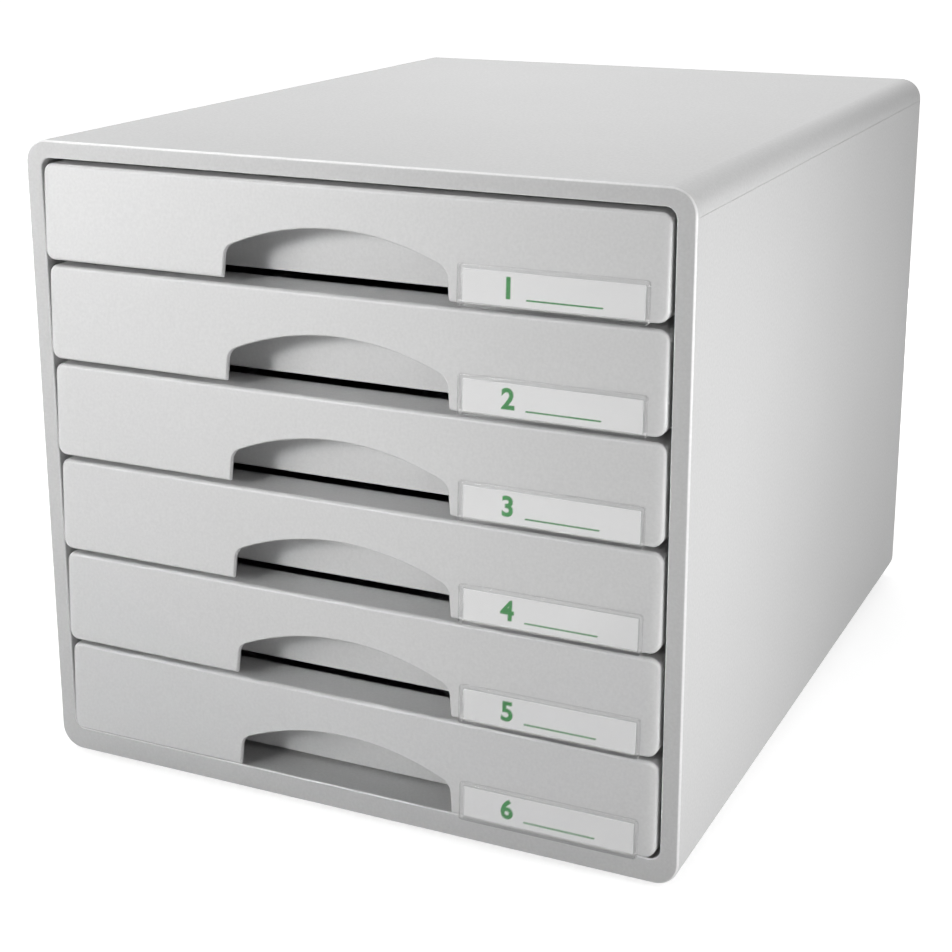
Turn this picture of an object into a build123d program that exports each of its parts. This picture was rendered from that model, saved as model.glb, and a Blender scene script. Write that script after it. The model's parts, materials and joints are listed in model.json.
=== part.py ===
from build123d import *
from math import atan2
from math import cos
from math import sin
import os

# Desktop cabinet with a stack of pull-out drawers for A4 paper, in millimetres.
# +Z is up and +Y runs from the drawer fronts to the back.
# The origin lies on the desk, under the middle of the cabinet.

os.makedirs("parts", exist_ok=True)

# Every cut runs past the solid by this much
overrun = 5.0

# Housing sleeve
housing_width = 287.0
housing_height = 270.0
housing_depth = 360.0
long_edge_radius = 10.0
shell_wall = 3.0
front_edge_round = 1.2
rear_edge_round = 0.8

# Fine mould seam along each side, just below the upper long edge
seam_below_round = 0.6
seam_start = 2.4
seam_width = 0.25
seam_depth = 0.15

# Bezel round the drawer opening
bezel_side = 7.6
bezel_top = 7.3
bezel_bottom = 10.4
bezel_depth = 10.0
opening_radius = 4.5
opening_edge_round = 0.8

# Raised floor, hollow underneath, with a boss over each foot
floor_wall = 3.0
skirt_width = 14.0
skirt_corner_radius = 6.0
foot_boss_wall = 3.0

# Rubber feet, glued into shallow recesses
foot_diameter = 18.0
foot_height = 3.0
foot_proud = 1.5
foot_inset = 24.0
foot_edge_round = 0.6
foot_fit = 0.2

# Rear panel, pushed into the sleeve past small catches
rear_panel_wall = 3.0
rear_panel_inset = 2.0
rear_panel_fit = 0.2
rear_field_margin = 18.0
rear_field_depth = 1.0
rear_field_radius = 8.0
catch_length = 30.0
catch_spacing = 130.0
catch_reach = 1.0
catch_width = 1.2

# Runner panels, trapped between bezel and rear panel
runner_wall = 2.0
runner_fit = 0.2
standoff_width = 3.0
standoff_count = 5
rib_wall = 2.0
rib_start = 22.0
carry_rib_reach = 7.7
guard_rib_reach = 4.4
stop_lug_length = 8.0

# Drawer stack, with the gaps round the fronts
drawer_count = 6
drawer_gap = 2.4
front_side_gap = 1.3
front_top_gap = 1.9
front_bottom_gap = 1.3

# Drawer front: a plate that leans out towards its lower edge and curves back at its sides,
# a top ledge and a finger pocket
front_proud_top = 1.0
front_proud_bottom = 3.0
front_wall = 2.0
front_corner_radius = 4.4
front_side_drop = 1.0
front_round = 1.6
ledge_wall = 2.0
end_wall = 2.5
pocket_depth = 17.5
pocket_lean = 2.0

# Finger cut-out in the front plate, open at the lower edge
grip_width = 98.4
grip_height = 23.0
grip_arch_rise = 10.7
grip_flare = 1.0
grip_shoulder_radius = 6.0
grip_rim_round = 0.6

# Tray behind the front, hung on its side flanges
tray_lift = 0.5
tray_wall = 2.0
tray_floor = 2.0
tray_side_gap = 0.7
tray_rear_gap = 0.6
tray_corner_radius = 6.0
tray_floor_round = 1.5
flange_wall = 2.0
flange_side_gap = 1.7
slide_gap = 0.3

# Stop nibs on the flanges
nib_inset = 50.0
nib_length = 4.0
nib_height = 1.6
nib_side_gap = 0.5

# Clear label cover, clipped round the front plate's lower edge
label_width = 74.8
label_height = 16.0
label_proud = 2.0
label_drop = 0.6
label_inset = 6.6
label_corner_radius = 1.2
label_edge_round = 0.4
lip_gap = 0.1
hook_wall = 0.8
hook_rise = 1.5

# Paper card under the cover
card_thickness = 0.4
card_room = 0.3
card_fit = 0.3
card_margin_side = 1.8
card_margin_top = 2.0
card_margin_bottom = 1.6

# Places along the depth, from the bezel's front plane
front_reach = front_proud_bottom + label_proud
front_y = (front_reach - housing_depth) / 2
rear_y = front_y + housing_depth
middle_y = (front_y + rear_y) / 2
rear_panel_y = rear_y - rear_panel_inset - rear_panel_wall
tray_rear_y = rear_panel_y - tray_rear_gap
rib_front_y = front_y + rib_start
pocket_foot_y = front_y + pocket_depth
pocket_top_y = pocket_foot_y - pocket_lean
block_rear_y = pocket_foot_y + tray_wall

# Heights of the housing
shell_base = foot_proud
shell_top = shell_base + housing_height
opening_width = housing_width - 2 * bezel_side
opening_height = housing_height - bezel_top - bezel_bottom
opening_base = shell_base + bezel_bottom
cavity_width = housing_width - 2 * shell_wall
cavity_height = housing_height - shell_wall - bezel_bottom
cavity_radius = long_edge_radius - shell_wall

# Drawers share the opening's height
stack_height = opening_height - front_top_gap - front_bottom_gap
front_height = (stack_height - (drawer_count - 1) * drawer_gap) / drawer_count
drawer_pitch = front_height + drawer_gap
front_width = opening_width - 2 * front_side_gap
lowest_base = opening_base + front_bottom_gap
lowest_top = lowest_base + front_height
tray_base = lowest_base + tray_lift
floor_top = tray_base + tray_floor
drawer_rises = [level * drawer_pitch for level in range(drawer_count)]

# Widths of the runner, counted inwards from the panel's face
panel_face_x = opening_width / 2
carry_edge_x = panel_face_x - carry_rib_reach
guard_edge_x = panel_face_x - guard_rib_reach
tray_half = carry_edge_x - tray_side_gap
flange_half = panel_face_x - flange_side_gap
nib_width = guard_edge_x - nib_side_gap - carry_edge_x
nib_middle_x = carry_edge_x + nib_width / 2

# Planes for the housing's front, for the leaning face of the lowest drawer and for a section across it
front_plane = Plane(origin=(0, front_y, shell_base), x_dir=(1, 0, 0), z_dir=(0, -1, 0))
lean = atan2(front_proud_bottom - front_proud_top, front_height)
face_foot_y = front_y - front_proud_bottom
face_top_y = front_y - front_proud_top
face_foot = (0, face_foot_y, lowest_base)
face_plane = Plane(origin=face_foot, x_dir=(1, 0, 0), z_dir=(0, -cos(lean), sin(lean)))
section_plane = Plane(origin=face_foot, x_dir=(1, 0, 0), z_dir=face_plane.y_dir)

# Feet, by name
foot_x = housing_width / 2 - foot_inset
foot_front_y = front_y + foot_inset
foot_rear_y = rear_y - foot_inset
foot_places = {
    "foot_front_left": (-foot_x, foot_front_y),
    "foot_front_right": (foot_x, foot_front_y),
    "foot_rear_left": (-foot_x, foot_rear_y),
    "foot_rear_right": (foot_x, foot_rear_y),
}


def draw_cavity(clearance):
    """Draws the hollow behind the bezel in the open sketch, smaller all round by a clearance."""
    with Locations((0, bezel_bottom + clearance)):
        Rectangle(
            cavity_width - 2 * clearance,
            cavity_height - 2 * clearance,
            align=(Align.CENTER, Align.MIN),
        )
    fillet(vertices().group_by(Axis.Y)[-1], cavity_radius)


def save(piece, name):
    """Labels a finished piece and writes it under its name."""
    piece.label = name
    export_step(piece, f"parts/{name}.step")


# Housing sleeve with its bezel
with BuildPart() as housing_shell:
    with BuildSketch(front_plane):
        with Locations((0, housing_height / 2)):
            RectangleRounded(housing_width, housing_height, long_edge_radius)
    extrude(amount=-housing_depth)
    fillet(faces().sort_by(Axis.Y)[0].edges(), front_edge_round)
    fillet(faces().sort_by(Axis.Y)[-1].edges(), rear_edge_round)

    # Drawer opening through the bezel, then the wider hollow behind it
    with BuildSketch(front_plane):
        with Locations((0, bezel_bottom + opening_height / 2)):
            RectangleRounded(opening_width, opening_height, opening_radius)
    extrude(amount=-(bezel_depth + overrun), mode=Mode.SUBTRACT)
    fillet(faces().sort_by(Axis.Y)[0].inner_wires()[0].edges(), opening_edge_round)
    with BuildSketch(front_plane.offset(-bezel_depth)):
        draw_cavity(0)
    extrude(amount=-(housing_depth - bezel_depth + overrun), mode=Mode.SUBTRACT)

    # Catches behind the rear panel, on both side walls
    with BuildSketch(front_plane.offset(rear_panel_inset - rear_panel_fit - housing_depth)):
        with Locations((0, bezel_bottom + cavity_height / 2)):
            with GridLocations(cavity_width, catch_spacing, 2, 2):
                Rectangle(2 * catch_reach, catch_length)
    extrude(amount=-catch_width)

    # Hollow underside with foot bosses and their recesses
    with BuildSketch(Plane.XY.offset(shell_base)):
        with Locations((0, middle_y)):
            RectangleRounded(
                housing_width - 2 * skirt_width,
                housing_depth - 2 * skirt_width,
                skirt_corner_radius,
            )
        with Locations(*foot_places.values()):
            Circle(foot_diameter / 2 + foot_fit + foot_boss_wall, mode=Mode.SUBTRACT)
    extrude(amount=bezel_bottom - floor_wall, mode=Mode.SUBTRACT)
    with BuildSketch(Plane.XY.offset(shell_base)):
        with Locations(*foot_places.values()):
            Circle(foot_diameter / 2 + foot_fit)
    extrude(amount=foot_height - foot_proud, mode=Mode.SUBTRACT)

    # Mould seams
    seam_z = shell_top - long_edge_radius - seam_below_round
    for side in (-1, 1):
        seam_origin = (side * housing_width / 2, front_y + seam_start, seam_z)
        with BuildSketch(Plane(origin=seam_origin, x_dir=(0, 1, 0), z_dir=(side, 0, 0))):
            Rectangle(housing_depth, seam_width, align=(Align.MIN, Align.CENTER))
        extrude(amount=-seam_depth, mode=Mode.SUBTRACT)

save(housing_shell.part, "housing_shell")

# Rear panel with a shallow sunk field
with BuildPart() as rear_panel:
    rear_face_plane = front_plane.offset(rear_panel_inset - housing_depth)
    with BuildSketch(rear_face_plane):
        draw_cavity(rear_panel_fit)
    extrude(amount=rear_panel_wall)
    with BuildSketch(rear_face_plane):
        with Locations((0, bezel_bottom + cavity_height / 2)):
            RectangleRounded(
                cavity_width - 2 * rear_field_margin,
                cavity_height - 2 * rear_field_margin,
                rear_field_radius,
            )
    extrude(amount=rear_field_depth, mode=Mode.SUBTRACT)

save(rear_panel.part, "rear_panel")

# Right runner panel: plate, stand-offs towards the shell, ribs and stop lugs
with BuildPart() as runner_panel_right:
    panel_base = opening_base + runner_fit
    panel_top = lowest_top + drawer_rises[-1] + slide_gap + rib_wall
    standoff_top = shell_top - long_edge_radius
    panel_front_y = front_y + bezel_depth + runner_fit
    panel_length = rear_panel_y - runner_fit - panel_front_y
    standoff_reach = cavity_width / 2 - runner_fit - panel_face_x - runner_wall
    standoff_pitch = (panel_length - standoff_width) / (standoff_count - 1)
    rib_length = panel_front_y + panel_length - rib_front_y

    with BuildSketch(Plane.YZ.offset(panel_face_x)):
        with Locations((panel_front_y, panel_base)):
            Rectangle(panel_length, panel_top - panel_base, align=(Align.MIN, Align.MIN))
    extrude(amount=runner_wall)
    with BuildSketch(Plane.YZ.offset(panel_face_x + runner_wall)):
        with Locations((panel_front_y + panel_length / 2, (panel_base + standoff_top) / 2)):
            with GridLocations(standoff_pitch, 0, standoff_count, 1):
                Rectangle(standoff_width, standoff_top - panel_base)
    extrude(amount=standoff_reach)

    rib_plane = Plane.XZ.offset(-rib_front_y)
    carry_places = [(panel_face_x, lowest_top - flange_wall - slide_gap + rise) for rise in drawer_rises]
    guard_places = [(panel_face_x, lowest_top + slide_gap + rise) for rise in drawer_rises]
    with BuildSketch(rib_plane):
        with Locations(*carry_places):
            Rectangle(carry_rib_reach, rib_wall, align=(Align.MAX, Align.MAX))
        with Locations(*guard_places):
            Rectangle(guard_rib_reach, rib_wall, align=(Align.MAX, Align.MIN))
    extrude(amount=-rib_length)
    with BuildSketch(rib_plane):
        with Locations(*guard_places):
            Rectangle(carry_rib_reach, rib_wall, align=(Align.MAX, Align.MIN))
    extrude(amount=-stop_lug_length)

save(runner_panel_right.part, "runner_panel_right")

# Left runner panel, the mirror image
with BuildPart() as runner_panel_left:
    mirror(runner_panel_right.part, about=Plane.YZ)

save(runner_panel_left.part, "runner_panel_left")

# Rubber feet
for foot_name, foot_place in foot_places.items():
    with BuildPart() as foot:
        with BuildSketch():
            with Locations(foot_place):
                Circle(foot_diameter / 2)
        extrude(amount=foot_height)
        fillet(faces().sort_by(Axis.Z)[0].edges(), foot_edge_round)

    save(foot.part, foot_name)

# Lowest drawer, front and tray in one moulding
with BuildPart() as drawer_tray:
    # Front block, cut to the leaning face, with one rounding round it
    block_plane = Plane.XZ.offset(front_reach - front_y)
    with BuildSketch(block_plane):
        with Locations((0, lowest_base + front_height / 2)):
            RectangleRounded(front_width, front_height, front_corner_radius)
    extrude(amount=-(front_reach + pocket_depth + tray_wall))
    flat_half = front_width / 2 - front_corner_radius
    with BuildSketch(section_plane):
        with BuildLine():
            right_curve = TangentArc((flat_half, 0), (front_width / 2, front_side_drop), tangent=(1, 0))
            left_curve = TangentArc((-flat_half, 0), (-front_width / 2, front_side_drop), tangent=(-1, 0))
            Line(left_curve @ 0, right_curve @ 0)
            Polyline(
                right_curve @ 1,
                (front_width / 2, housing_depth),
                (-front_width / 2, housing_depth),
                left_curve @ 1,
            )
        make_face()
    extrude(amount=front_height + overrun, both=True, mode=Mode.INTERSECT)
    flat_face, *side_faces = faces().sort_by(Axis.Y)[:3]
    outline = flat_face.edges().filter_by(Axis.X)
    for side_face in side_faces:
        outline += side_face.edges().sort_by(lambda edge: abs(edge.center().X))[1:]
    fillet(outline, front_round)

    # Arched finger cut-out with a slightly rounded rim
    shoulder_x = grip_width / 2 - grip_flare
    shoulder_z = lowest_base + grip_height - grip_arch_rise
    with BuildSketch(block_plane):
        with BuildLine():
            arch = ThreePointArc(
                (-shoulder_x, shoulder_z),
                (0, lowest_base + grip_height),
                (shoulder_x, shoulder_z),
            )
            Polyline(
                arch @ 1,
                (grip_width / 2, lowest_base),
                (grip_width / 2, lowest_base - overrun),
                (-grip_width / 2, lowest_base - overrun),
                (-grip_width / 2, lowest_base),
                arch @ 0,
            )
        make_face()
        fillet(vertices().group_by(Axis.Y)[-1], grip_shoulder_radius)
    extrude(amount=-(front_reach + pocket_depth / 2), mode=Mode.SUBTRACT)
    leaning_face = faces().filter_by(GeomType.PLANE).sort_by(Axis.Y)[0]
    fillet(leaning_face.edges().filter_by(GeomType.ELLIPSE), grip_rim_round)

    # Finger pocket behind the plate, widening downwards, and the raised underside behind it
    with BuildSketch(Plane.YZ):
        with BuildLine():
            Polyline(
                (face_foot_y + front_wall, lowest_base - overrun),
                (face_foot_y + front_wall, lowest_base),
                (face_top_y + front_wall, lowest_top - ledge_wall),
                (pocket_top_y, lowest_top - ledge_wall),
                (pocket_foot_y, lowest_base),
                (pocket_foot_y, lowest_base - overrun),
                close=True,
            )
        make_face()
    extrude(amount=front_width / 2 - end_wall, both=True, mode=Mode.SUBTRACT)
    with BuildSketch(Plane.YZ):
        with Locations((face_foot_y + front_wall, tray_base)):
            Rectangle(housing_depth, tray_lift + overrun, align=(Align.MIN, Align.MAX))
    extrude(amount=front_width, both=True, mode=Mode.SUBTRACT)

    # Tray and side flanges
    with BuildSketch(Plane.XY.offset(tray_base)):
        with Locations((0, block_rear_y)):
            Rectangle(2 * tray_half, tray_rear_y - block_rear_y, align=(Align.CENTER, Align.MIN))
        fillet(vertices().group_by(Axis.Y)[-1], tray_corner_radius)
    extrude(amount=lowest_top - tray_base)
    with BuildSketch(Plane.XY.offset(lowest_top)):
        with Locations((0, block_rear_y)):
            flange_length = tray_rear_y - tray_corner_radius - block_rear_y
            Rectangle(2 * flange_half, flange_length, align=(Align.CENTER, Align.MIN))
    extrude(amount=-flange_wall)

    # Inside of the tray, its front wall leaning with the pocket
    with BuildSketch(Plane.YZ):
        with BuildLine():
            Polyline(
                (block_rear_y, floor_top),
                (pocket_top_y + tray_wall, lowest_top),
                (pocket_top_y + tray_wall, lowest_top + overrun),
                (tray_rear_y - tray_wall, lowest_top + overrun),
                (tray_rear_y - tray_wall, floor_top),
                close=True,
            )
        make_face()
    extrude(amount=tray_half - tray_wall, both=True, mode=Mode.SUBTRACT)
    upright_edges = edges().filter_by(Axis.Z)
    inner_corners = upright_edges.filter_by_position(
        Axis.Y,
        tray_rear_y - 1.5 * tray_wall,
        tray_rear_y - tray_wall / 2,
    )
    fillet(inner_corners, tray_corner_radius - tray_wall)
    tray_bottom = faces().filter_by(Plane.XY).filter_by_position(
        Axis.Z,
        tray_base + tray_floor / 2,
        floor_top + tray_floor / 2,
    )
    fillet(tray_bottom.edges(), tray_floor_round)

    # Stop nibs
    with BuildSketch(Plane.XY.offset(lowest_top)):
        with Locations((0, tray_rear_y - nib_inset - nib_length / 2)):
            with GridLocations(2 * nib_middle_x, 0, 2, 1):
                Rectangle(nib_width, nib_length)
    extrude(amount=nib_height)

# Label cover of the lowest drawer: a clear lid over the card, with a lip round the plate's lower edge
label_right_x = front_width / 2 - label_inset
label_left_x = label_right_x - label_width
label_middle_x = (label_left_x + label_right_x) / 2
card_width = label_width - 2 * card_margin_side
card_height = label_height - card_margin_top - card_margin_bottom
card_middle = (label_middle_x, card_margin_bottom - label_drop + card_height / 2)

with BuildPart() as label_cover:
    with BuildSketch(face_plane):
        with Locations((label_middle_x, label_height / 2 - label_drop)):
            RectangleRounded(label_width, label_height, label_corner_radius)
    extrude(amount=label_proud)
    fillet(faces().sort_by(Axis.Y)[0].edges(), label_edge_round)
    with BuildSketch(face_plane):
        with Locations(card_middle):
            Rectangle(card_width + 2 * card_fit, card_height + 2 * card_fit)
    extrude(amount=card_thickness + card_room, mode=Mode.SUBTRACT)

    lip_origin = face_plane.from_local_coords((label_left_x + label_corner_radius, 0, 0))
    lip_reach = front_wall + lip_gap + hook_wall
    with BuildSketch(Plane(origin=lip_origin, x_dir=-face_plane.z_dir, z_dir=(1, 0, 0))):
        with BuildLine():
            Polyline(
                (0, -label_drop),
                (lip_reach, -label_drop),
                (lip_reach, hook_rise),
                (lip_reach - hook_wall, hook_rise),
                (lip_reach - hook_wall, -lip_gap),
                (0, -lip_gap),
                close=True,
            )
        make_face()
    extrude(amount=label_width - 2 * label_corner_radius)

# Label card of the lowest drawer
with BuildPart() as label_card:
    with BuildSketch(face_plane):
        with Locations(card_middle):
            Rectangle(card_width, card_height)
    extrude(amount=card_thickness)

# The drawers are alike and are numbered from the top
for level, rise in enumerate(drawer_rises):
    number = drawer_count - level
    lift = Location((0, 0, rise))
    save(drawer_tray.part.moved(lift), f"drawer_tray_{number}")
    save(label_cover.part.moved(lift), f"label_cover_{number}")
    save(label_card.part.moved(lift), f"label_card_{number}")

# How far a drawer slides before its nibs meet the stop lugs
nib_front_y = tray_rear_y - nib_inset - nib_length
lug_rear_y = rib_front_y + stop_lug_length
print(f"drawer travel to the stop {nib_front_y - lug_rear_y:.2f}")
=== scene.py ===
import json
import math

import bmesh
import bpy
from mathutils import Matrix, Vector


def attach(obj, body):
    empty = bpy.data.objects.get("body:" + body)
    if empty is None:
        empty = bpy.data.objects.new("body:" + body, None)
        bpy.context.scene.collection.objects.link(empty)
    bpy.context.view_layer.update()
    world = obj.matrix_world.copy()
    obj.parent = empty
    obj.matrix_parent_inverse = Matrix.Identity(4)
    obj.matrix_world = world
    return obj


# Looks of a desktop drawer cabinet, in metres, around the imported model.
# +Z is up, +Y runs from the drawer fronts to the back.

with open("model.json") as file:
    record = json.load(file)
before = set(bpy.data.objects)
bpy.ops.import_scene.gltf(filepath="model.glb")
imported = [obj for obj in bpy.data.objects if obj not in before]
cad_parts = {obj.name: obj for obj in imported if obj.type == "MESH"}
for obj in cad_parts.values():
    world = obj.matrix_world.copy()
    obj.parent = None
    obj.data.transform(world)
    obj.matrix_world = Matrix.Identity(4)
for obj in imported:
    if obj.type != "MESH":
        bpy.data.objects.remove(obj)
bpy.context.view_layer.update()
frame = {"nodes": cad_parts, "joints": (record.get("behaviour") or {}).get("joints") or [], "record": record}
MM = 0.001
DRAWER_COUNT = len(frame["joints"])

# Camera, found from the cabinet's front corners in the photograph, with its angles in degrees
CAMERA_PLACE = (0.3407, -0.7803, 0.3800)
CAMERA_TURN = 25.02
CAMERA_PITCH = -15.11
CAMERA_ROLL = 0.09
CAMERA_LENS = 70.10
CAMERA_SHIFT_Y = -0.12
LEVEL_TILT = 90

# Colours, linear
HOUSING_GREY = (0.585, 0.585, 0.585, 1)
DRAWER_GREY = (0.68, 0.68, 0.68, 1)
RUNNER_GREY = (0.55, 0.55, 0.55, 1)
CLEAR_TINT = (0.99, 0.99, 0.99, 1)
PAPER_WHITE = (0.88, 0.88, 0.88, 1)
INK_GREEN = (0.008, 0.21, 0.03, 1)
RUBBER_BLACK = (0.025, 0.025, 0.025, 1)
FLOOR_GREY = (0.5, 0.5, 0.5, 1)
WHITE = (1, 1, 1, 1)

# The middle of a noise, which holds nearly all of its values
NOISE_LOW = 0.3
NOISE_HIGH = 0.7

# How far a rounded front edge slants where its smoother finish and painted highlight start and where they
# are full
EDGE_SLANT_START = 0.2
EDGE_SLANT_FULL = 0.55

# Share of what is seen through clear plastic that isn't bent by it
CLEAR_SHARE = 0.5

# Strength of the surround on the cabinet, and the floor's own glow near the cabinet and far from it
AMBIENT = 0.10
FLOOR_GLOW_NEAR = 0.72
FLOOR_GLOW_FAR = 1.0
FLOOR_NEAR = 0.35
FLOOR_FAR = 0.9
FLOOR_REACH = 6

# Printing on the label cards, placed by shares of a card's width
DIGIT_HEIGHT = 7.6 * MM
DIGIT_WEIGHT = 0.34 * MM
PRINT_THICKNESS = 0.02 * MM
PRINT_DIGIT_SHARE = 0.26
PRINT_RULE_SHARES = (0.36, 0.78)
MIDDLE_SHARE = 0.5
RULE_WIDTH = 0.6 * MM
RULE_END_STEPS = 8

# A face whose normal has a smaller Y than this looks to the front
FRONT_NORMAL_Y = -0.9


def add_node(tree, kind, **values):
    """Adds a node to a tree and sets its inputs, named with _ for each space."""
    node = tree.nodes.new(kind)
    for name, value in values.items():
        node.inputs[name.replace("_", " ")].default_value = value
    return node


def start_material(name, **values):
    """A new material with one Principled shader, its tree and that shader."""
    material = bpy.data.materials.new(name)
    material.use_nodes = True
    tree = material.node_tree
    tree.nodes.clear()
    shader = add_node(tree, "ShaderNodeBsdfPrincipled", **values)
    output = add_node(tree, "ShaderNodeOutputMaterial")
    tree.links.new(shader.outputs["BSDF"], output.inputs["Surface"])
    return material, tree, shader


def noise(tree, scale, detail):
    """Noise in the piece's own coordinates, so that it moves with the piece."""
    place = add_node(tree, "ShaderNodeTexCoord")
    texture = add_node(tree, "ShaderNodeTexNoise", Scale=scale, Detail=detail)
    tree.links.new(place.outputs["Object"], texture.inputs["Vector"])
    return texture.outputs["Fac"]


def map_range(tree, source, **values):
    """A value from nodes, moved from one range to another and kept inside it."""
    node = add_node(tree, "ShaderNodeMapRange", **values)
    tree.links.new(source, node.inputs["Value"])
    return node.outputs["Result"]


def spread(tree, source, low, high):
    """Stretches the middle of a noise over a range of values."""
    return map_range(tree, source, From_Min=NOISE_LOW, From_Max=NOISE_HIGH, To_Min=low, To_Max=high)


def between(tree, mask, low, high):
    """A value that goes from low to high with a mask."""
    return map_range(tree, mask, To_Min=low, To_Max=high)


def join(tree, operation, first, second):
    """One value from two values of nodes."""
    node = add_node(tree, "ShaderNodeMath")
    node.operation = operation
    tree.links.new(first, node.inputs[0])
    tree.links.new(second, node.inputs[1])
    return node.outputs["Value"]


def product(tree, first, second):
    """Two values of nodes, multiplied."""
    return join(tree, "MULTIPLY", first, second)


def larger(tree, first, second):
    """The larger of two values of nodes."""
    return join(tree, "MAXIMUM", first, second)


def front_edge(tree):
    """A mask from the piece's own normals.

    It is 1 on the rounded edges of a front, and 0 on the flat faces and the long edges.
    """
    place = add_node(tree, "ShaderNodeTexCoord")
    absolute = add_node(tree, "ShaderNodeVectorMath")
    absolute.operation = "ABSOLUTE"
    tree.links.new(place.outputs["Normal"], absolute.inputs[0])
    parts = add_node(tree, "ShaderNodeSeparateXYZ")
    tree.links.new(absolute.outputs["Vector"], parts.inputs["Vector"])
    aside = larger(tree, parts.outputs["X"], parts.outputs["Z"])
    slant = join(tree, "MINIMUM", parts.outputs["Y"], aside)
    return map_range(tree, slant, From_Min=EDGE_SLANT_START, From_Max=EDGE_SLANT_FULL, To_Min=0, To_Max=1)


def paint(tree, shader, colour, factor):
    """Colours a shader, lighter or darker by a factor from nodes."""
    node = add_node(tree, "ShaderNodeVectorMath")
    node.operation = "SCALE"
    node.inputs[0].default_value = colour[:3]
    tree.links.new(factor, node.inputs["Scale"])
    tree.links.new(node.outputs["Vector"], shader.inputs["Base Color"])


def emboss(tree, shader, height, strength, distance):
    """Gives a shader a fine relief from a height."""
    bump = add_node(tree, "ShaderNodeBump", Strength=strength, Distance=distance)
    tree.links.new(height, bump.inputs["Height"])
    tree.links.new(bump.outputs["Normal"], shader.inputs["Normal"])


def moulded_plastic(name, colour, roughness, grain, painted_edge_highlight):
    """Moulded plastic: an even spark-eroded grain, faint flow marks, and smoother front edges whose colour
    is lightened by a factor, a painted highlight.
    """
    material, tree, shader = start_material(name)
    fine = noise(tree, scale=850, detail=2)
    flow = noise(tree, scale=9, detail=3)
    edge = front_edge(tree)
    speck = spread(tree, fine, low=1 - grain, high=1 + grain)
    cloud = spread(tree, flow, low=0.985, high=1.015)
    # the colour on the rounded front edges is lightened by this factor: a painted highlight
    painted_highlight_tone = between(tree, edge, low=1, high=painted_edge_highlight)
    paint(tree, shader, colour, product(tree, product(tree, speck, cloud), painted_highlight_tone))
    grained = spread(tree, fine, low=roughness + 0.04, high=roughness - 0.04)
    rubbed_smooth = between(tree, edge, low=1, high=0.5)
    tree.links.new(product(tree, grained, rubbed_smooth), shader.inputs["Roughness"])
    emboss(tree, shader, fine, strength=0.2, distance=0.04 * MM)
    return material


def clear_plastic(name):
    """Clear polished plastic that lets the lamps through to the card behind it."""
    material, tree, shader = start_material(
        name, Base_Color=CLEAR_TINT, Transmission_Weight=1.0, IOR=1.49)
    haze = noise(tree, scale=60, detail=2)
    tree.links.new(spread(tree, haze, low=0.02, high=0.05), shader.inputs["Roughness"])
    through = add_node(tree, "ShaderNodeBsdfTransparent", Color=CLEAR_TINT)
    path = add_node(tree, "ShaderNodeLightPath")
    mix = add_node(tree, "ShaderNodeMixShader")
    lit = larger(tree, path.outputs["Is Shadow Ray"], path.outputs["Is Diffuse Ray"])
    tree.links.new(between(tree, lit, low=CLEAR_SHARE, high=1), mix.inputs[0])
    tree.links.new(shader.outputs["BSDF"], mix.inputs[1])
    tree.links.new(through.outputs["BSDF"], mix.inputs[2])
    output = next(node for node in tree.nodes if node.type == "OUTPUT_MATERIAL")
    tree.links.new(mix.outputs["Shader"], output.inputs["Surface"])
    return material


def paper(name):
    """Smooth white card with a faint fibre."""
    material, tree, shader = start_material(name, Roughness=0.75)
    fibre = noise(tree, scale=900, detail=4)
    paint(tree, shader, PAPER_WHITE, spread(tree, fibre, low=0.985, high=1.015))
    emboss(tree, shader, fibre, strength=0.2, distance=0.02 * MM)
    return material


def print_ink(name):
    """Flat green print, a little uneven."""
    material, tree, shader = start_material(name, Roughness=0.6)
    uneven = noise(tree, scale=700, detail=3)
    paint(tree, shader, INK_GREEN, spread(tree, uneven, low=0.94, high=1.06))
    return material


def rubber(name):
    """Matt black rubber with a dusty grain."""
    material, tree, shader = start_material(name)
    dust = noise(tree, scale=800, detail=4)
    paint(tree, shader, RUBBER_BLACK, spread(tree, dust, low=0.8, high=1.3))
    tree.links.new(spread(tree, dust, low=0.75, high=0.92), shader.inputs["Roughness"])
    emboss(tree, shader, dust, strength=0.3, distance=0.05 * MM)
    return material


MATERIALS = {
    # the housing's front edges are lightened 1.55 times: a painted highlight
    "housing_plastic": moulded_plastic(
        "housing_plastic_look", HOUSING_GREY, roughness=0.46, grain=0.035, painted_edge_highlight=1.55),
    "drawer_plastic": moulded_plastic(
        "drawer_plastic_look", DRAWER_GREY, roughness=0.42, grain=0.03, painted_edge_highlight=1.0),
    "runner_plastic": moulded_plastic(
        "runner_plastic_look", RUNNER_GREY, roughness=0.5, grain=0.035, painted_edge_highlight=1.0),
    "clear_plastic": clear_plastic("clear_plastic_look"),
    "card_paper": paper("card_paper_look"),
    "foot_rubber": rubber("foot_rubber_look"),
}


def dress_nodes():
    """Gives each node the look of its slot in the record."""
    for part in frame["record"]["subparts"]:
        mesh = frame["nodes"][part["node"]].data
        mesh.materials.clear()
        mesh.materials.append(MATERIALS[part["material_slot"]])


def seen_directly(tree, seen, unseen):
    """One value for camera, glossy and transmission rays, and another for the rest."""
    path = add_node(tree, "ShaderNodeLightPath")
    total = path.outputs["Is Camera Ray"]
    for name in ("Is Glossy Ray", "Is Transmission Ray"):
        total = larger(tree, total, path.outputs[name])
    return between(tree, total, low=unseen, high=seen)


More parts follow.
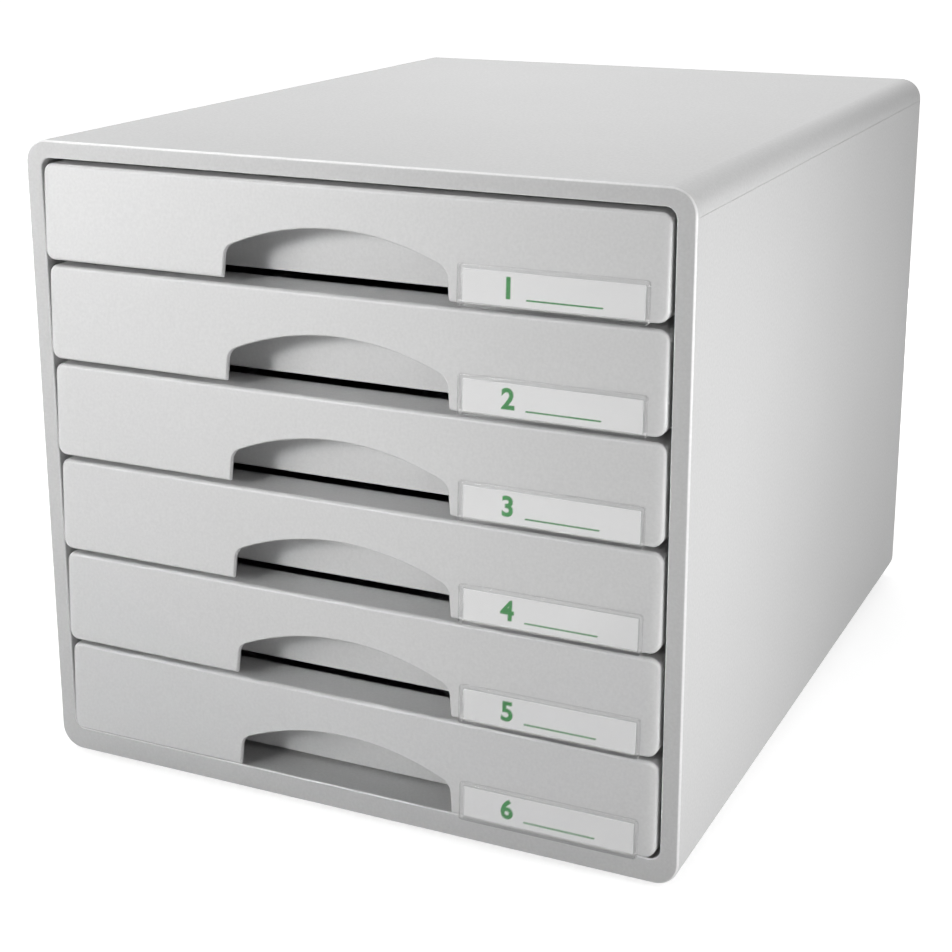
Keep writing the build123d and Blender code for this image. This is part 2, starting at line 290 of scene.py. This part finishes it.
def make_floor():
    """A wide pale floor, seen as white away from the cabinet, that keeps its shadow."""
    signs = ((-1, -1), (1, -1), (1, 1), (-1, 1))
    corners = [(x * FLOOR_REACH, y * FLOOR_REACH, 0) for x, y in signs]
    mesh = bpy.data.meshes.new("floor")
    mesh.from_pydata(corners, [], [range(len(corners))])
    floor = bpy.data.objects.new("floor", mesh)
    bpy.context.collection.objects.link(floor)
    material, tree, shader = start_material(
        "floor_look", Base_Color=FLOOR_GREY, Roughness=0.9, Emission_Color=WHITE)
    place = add_node(tree, "ShaderNodeTexCoord")
    length = add_node(tree, "ShaderNodeVectorMath")
    length.operation = "LENGTH"
    tree.links.new(place.outputs["Object"], length.inputs[0])
    glow = map_range(
        tree, length.outputs["Value"],
        From_Min=FLOOR_NEAR, From_Max=FLOOR_FAR, To_Min=FLOOR_GLOW_NEAR, To_Max=FLOOR_GLOW_FAR)
    strength = product(tree, glow, seen_directly(tree, seen=1, unseen=0))
    tree.links.new(strength, shader.inputs["Emission Strength"])
    mesh.materials.append(material)


def make_world():
    """An even studio surround, seen as white."""
    world = bpy.data.worlds.new("studio")
    bpy.context.scene.world = world
    world.use_nodes = True
    tree = world.node_tree
    tree.nodes.clear()
    background = add_node(tree, "ShaderNodeBackground", Color=WHITE)
    tree.links.new(seen_directly(tree, seen=1, unseen=AMBIENT), background.inputs["Strength"])
    output = add_node(tree, "ShaderNodeOutputWorld")
    tree.links.new(background.outputs["Background"], output.inputs["Surface"])


def softbox(name, place, target, width, height, power, beam=180):
    """A rectangular soft lamp at a place, facing a target, with a grid that narrows its beam.

    Places and sizes are in metres, the power is in watts and the beam in degrees.
    """
    lamp = bpy.data.lights.new(name, "AREA")
    lamp.shape = "RECTANGLE"
    lamp.size = width
    lamp.size_y = height
    lamp.energy = power
    lamp.spread = math.radians(beam)
    holder = bpy.data.objects.new(name, lamp)
    bpy.context.collection.objects.link(holder)
    holder.location = place
    holder.visible_camera = False
    holder.rotation_mode = "QUATERNION"
    holder.rotation_quaternion = (Vector(target) - Vector(place)).to_track_quat("-Z", "Y")


def make_lights():
    """Soft lamps for the front, the right side and the top, and two for the sides hidden from view."""
    softbox("key", place=(-0.45, -0.55, 0.28), target=(-0.10, -0.18, 0.22),
            width=0.20, height=0.20, power=0.86)
    softbox("front", place=(-0.59, -1.32, 0.55), target=(-0.05, -0.18, 0.23),
            width=0.30, height=0.30, power=0.35, beam=32)
    softbox("side_right", place=(0.51, -0.19, 0.19), target=(0.14, -0.12, 0.17),
            width=0.14, height=0.28, power=1.22)
    softbox("front_right", place=(0.63, -0.66, 0.10), target=(0.14, -0.18, 0.15),
            width=0.20, height=0.20, power=0.52)
    softbox("top_left", place=(-0.45, -0.02, 1.08), target=(0.0, 0.05, 0.27),
            width=0.60, height=0.60, power=5.1)
    softbox("top_back", place=(0.0, 0.60, 0.90), target=(0.0, 0.05, 0.27),
            width=0.80, height=0.50, power=2.6)
    softbox("side_left", place=(-0.75, 0.15, 0.13), target=(-0.14, 0.0, 0.13),
            width=0.40, height=0.24, power=1.4)
    softbox("back", place=(-0.05, 0.90, 0.13), target=(-0.05, 0.18, 0.13),
            width=0.36, height=0.24, power=2.0)


def make_camera():
    """The camera at the photograph's viewing angle."""
    data = bpy.data.cameras.new("camera")
    data.lens = CAMERA_LENS
    data.shift_y = CAMERA_SHIFT_Y
    camera = bpy.data.objects.new("camera", data)
    bpy.context.collection.objects.link(camera)
    camera.location = CAMERA_PLACE
    angles = (LEVEL_TILT + CAMERA_PITCH, CAMERA_ROLL, CAMERA_TURN)
    camera.rotation_euler = [math.radians(angle) for angle in angles]
    bpy.context.scene.camera = camera


def card_place(card):
    """Place of a card's front face, with X along its width and Y up it, and its width."""
    mesh = card.data
    front = [face for face in mesh.polygons if face.normal.y < FRONT_NORMAL_Y]
    normal = front[0].normal.copy()
    corners = [mesh.vertices[index].co for face in front for index in face.vertices]
    left, right = min(c.x for c in corners), max(c.x for c in corners)
    low, high = min(corners, key=lambda c: c.z), max(corners, key=lambda c: c.z)
    middle = Vector(((left + right) / 2, (low.y + high.y) / 2, (low.z + high.z) / 2))
    across = Vector((1, 0, 0))
    place = Matrix((across, normal.cross(across), normal)).transposed().to_4x4()
    place.translation = middle
    return place, right - left


def digit_mesh(number):
    """A thin printed digit, centred on its origin."""
    curve = bpy.data.curves.new(f"digit_{number}_outline", "FONT")
    curve.body = str(number)
    curve.align_x = "CENTER"
    curve.align_y = "CENTER"
    curve.offset = DIGIT_WEIGHT
    curve.extrude = PRINT_THICKNESS / 2
    text = bpy.data.objects.new(f"digit_{number}_outline", curve)
    bpy.context.collection.objects.link(text)
    bpy.context.view_layer.update()
    curve.size *= DIGIT_HEIGHT / text.dimensions.y
    bpy.context.view_layer.update()
    shape = text.evaluated_get(bpy.context.evaluated_depsgraph_get())
    mesh = bpy.data.meshes.new_from_object(shape)
    bpy.data.objects.remove(text)
    return mesh


def rule_mesh(length):
    """A thin printed line with round ends, centred on its origin."""
    radius = RULE_WIDTH / 2
    end_x = length / 2 - radius
    turns = [math.pi * (step / RULE_END_STEPS - 1 / 2) for step in range(RULE_END_STEPS + 1)]
    right_end = [(end_x + radius * math.cos(turn), radius * math.sin(turn)) for turn in turns]
    outline = right_end + [(-x, -y) for x, y in right_end]
    shape = bmesh.new()
    face = shape.faces.new([shape.verts.new((x, y, -PRINT_THICKNESS / 2)) for x, y in outline])
    raised = bmesh.ops.extrude_face_region(shape, geom=[face])["geom"]
    corners = [part for part in raised if isinstance(part, bmesh.types.BMVert)]
    bmesh.ops.translate(shape, vec=(0, 0, PRINT_THICKNESS), verts=corners)
    bmesh.ops.recalc_face_normals(shape, faces=shape.faces)
    mesh = bpy.data.meshes.new("rule")
    shape.to_mesh(mesh)
    shape.free()
    return mesh


def add_print(name, mesh, ink, place, drawer):
    """Puts a printed piece on a card, to ride with its drawer."""
    mesh.materials.clear()
    mesh.materials.append(ink)
    piece = bpy.data.objects.new(name, mesh)
    bpy.context.collection.objects.link(piece)
    piece.matrix_world = place
    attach(piece, drawer)


def print_cards():
    """Prints a number and a writing line on each label card."""
    ink = print_ink("print_ink_look")
    rule_start, rule_end = PRINT_RULE_SHARES
    rule_middle = (rule_start + rule_end) / 2
    rule_foot = (RULE_WIDTH - DIGIT_HEIGHT) / 2
    lift = PRINT_THICKNESS / 2
    for number in range(1, DRAWER_COUNT + 1):
        place, width = card_place(frame["nodes"][f"label_card_{number}"])
        digit_x = (PRINT_DIGIT_SHARE - MIDDLE_SHARE) * width
        digit_place = place @ Matrix.Translation((digit_x, 0, lift))
        add_print(f"card_digit_{number}", digit_mesh(number), ink, digit_place, f"drawer_{number}")
        rule_x = (rule_middle - MIDDLE_SHARE) * width
        rule_place = place @ Matrix.Translation((rule_x, rule_foot, lift))
        rule = rule_mesh((rule_end - rule_start) * width)
        add_print(f"card_rule_{number}", rule, ink, rule_place, f"drawer_{number}")


dress_nodes()
print_cards()
make_floor()
make_world()
make_lights()
make_camera()
bpy.context.scene.view_settings.view_transform = "Standard"
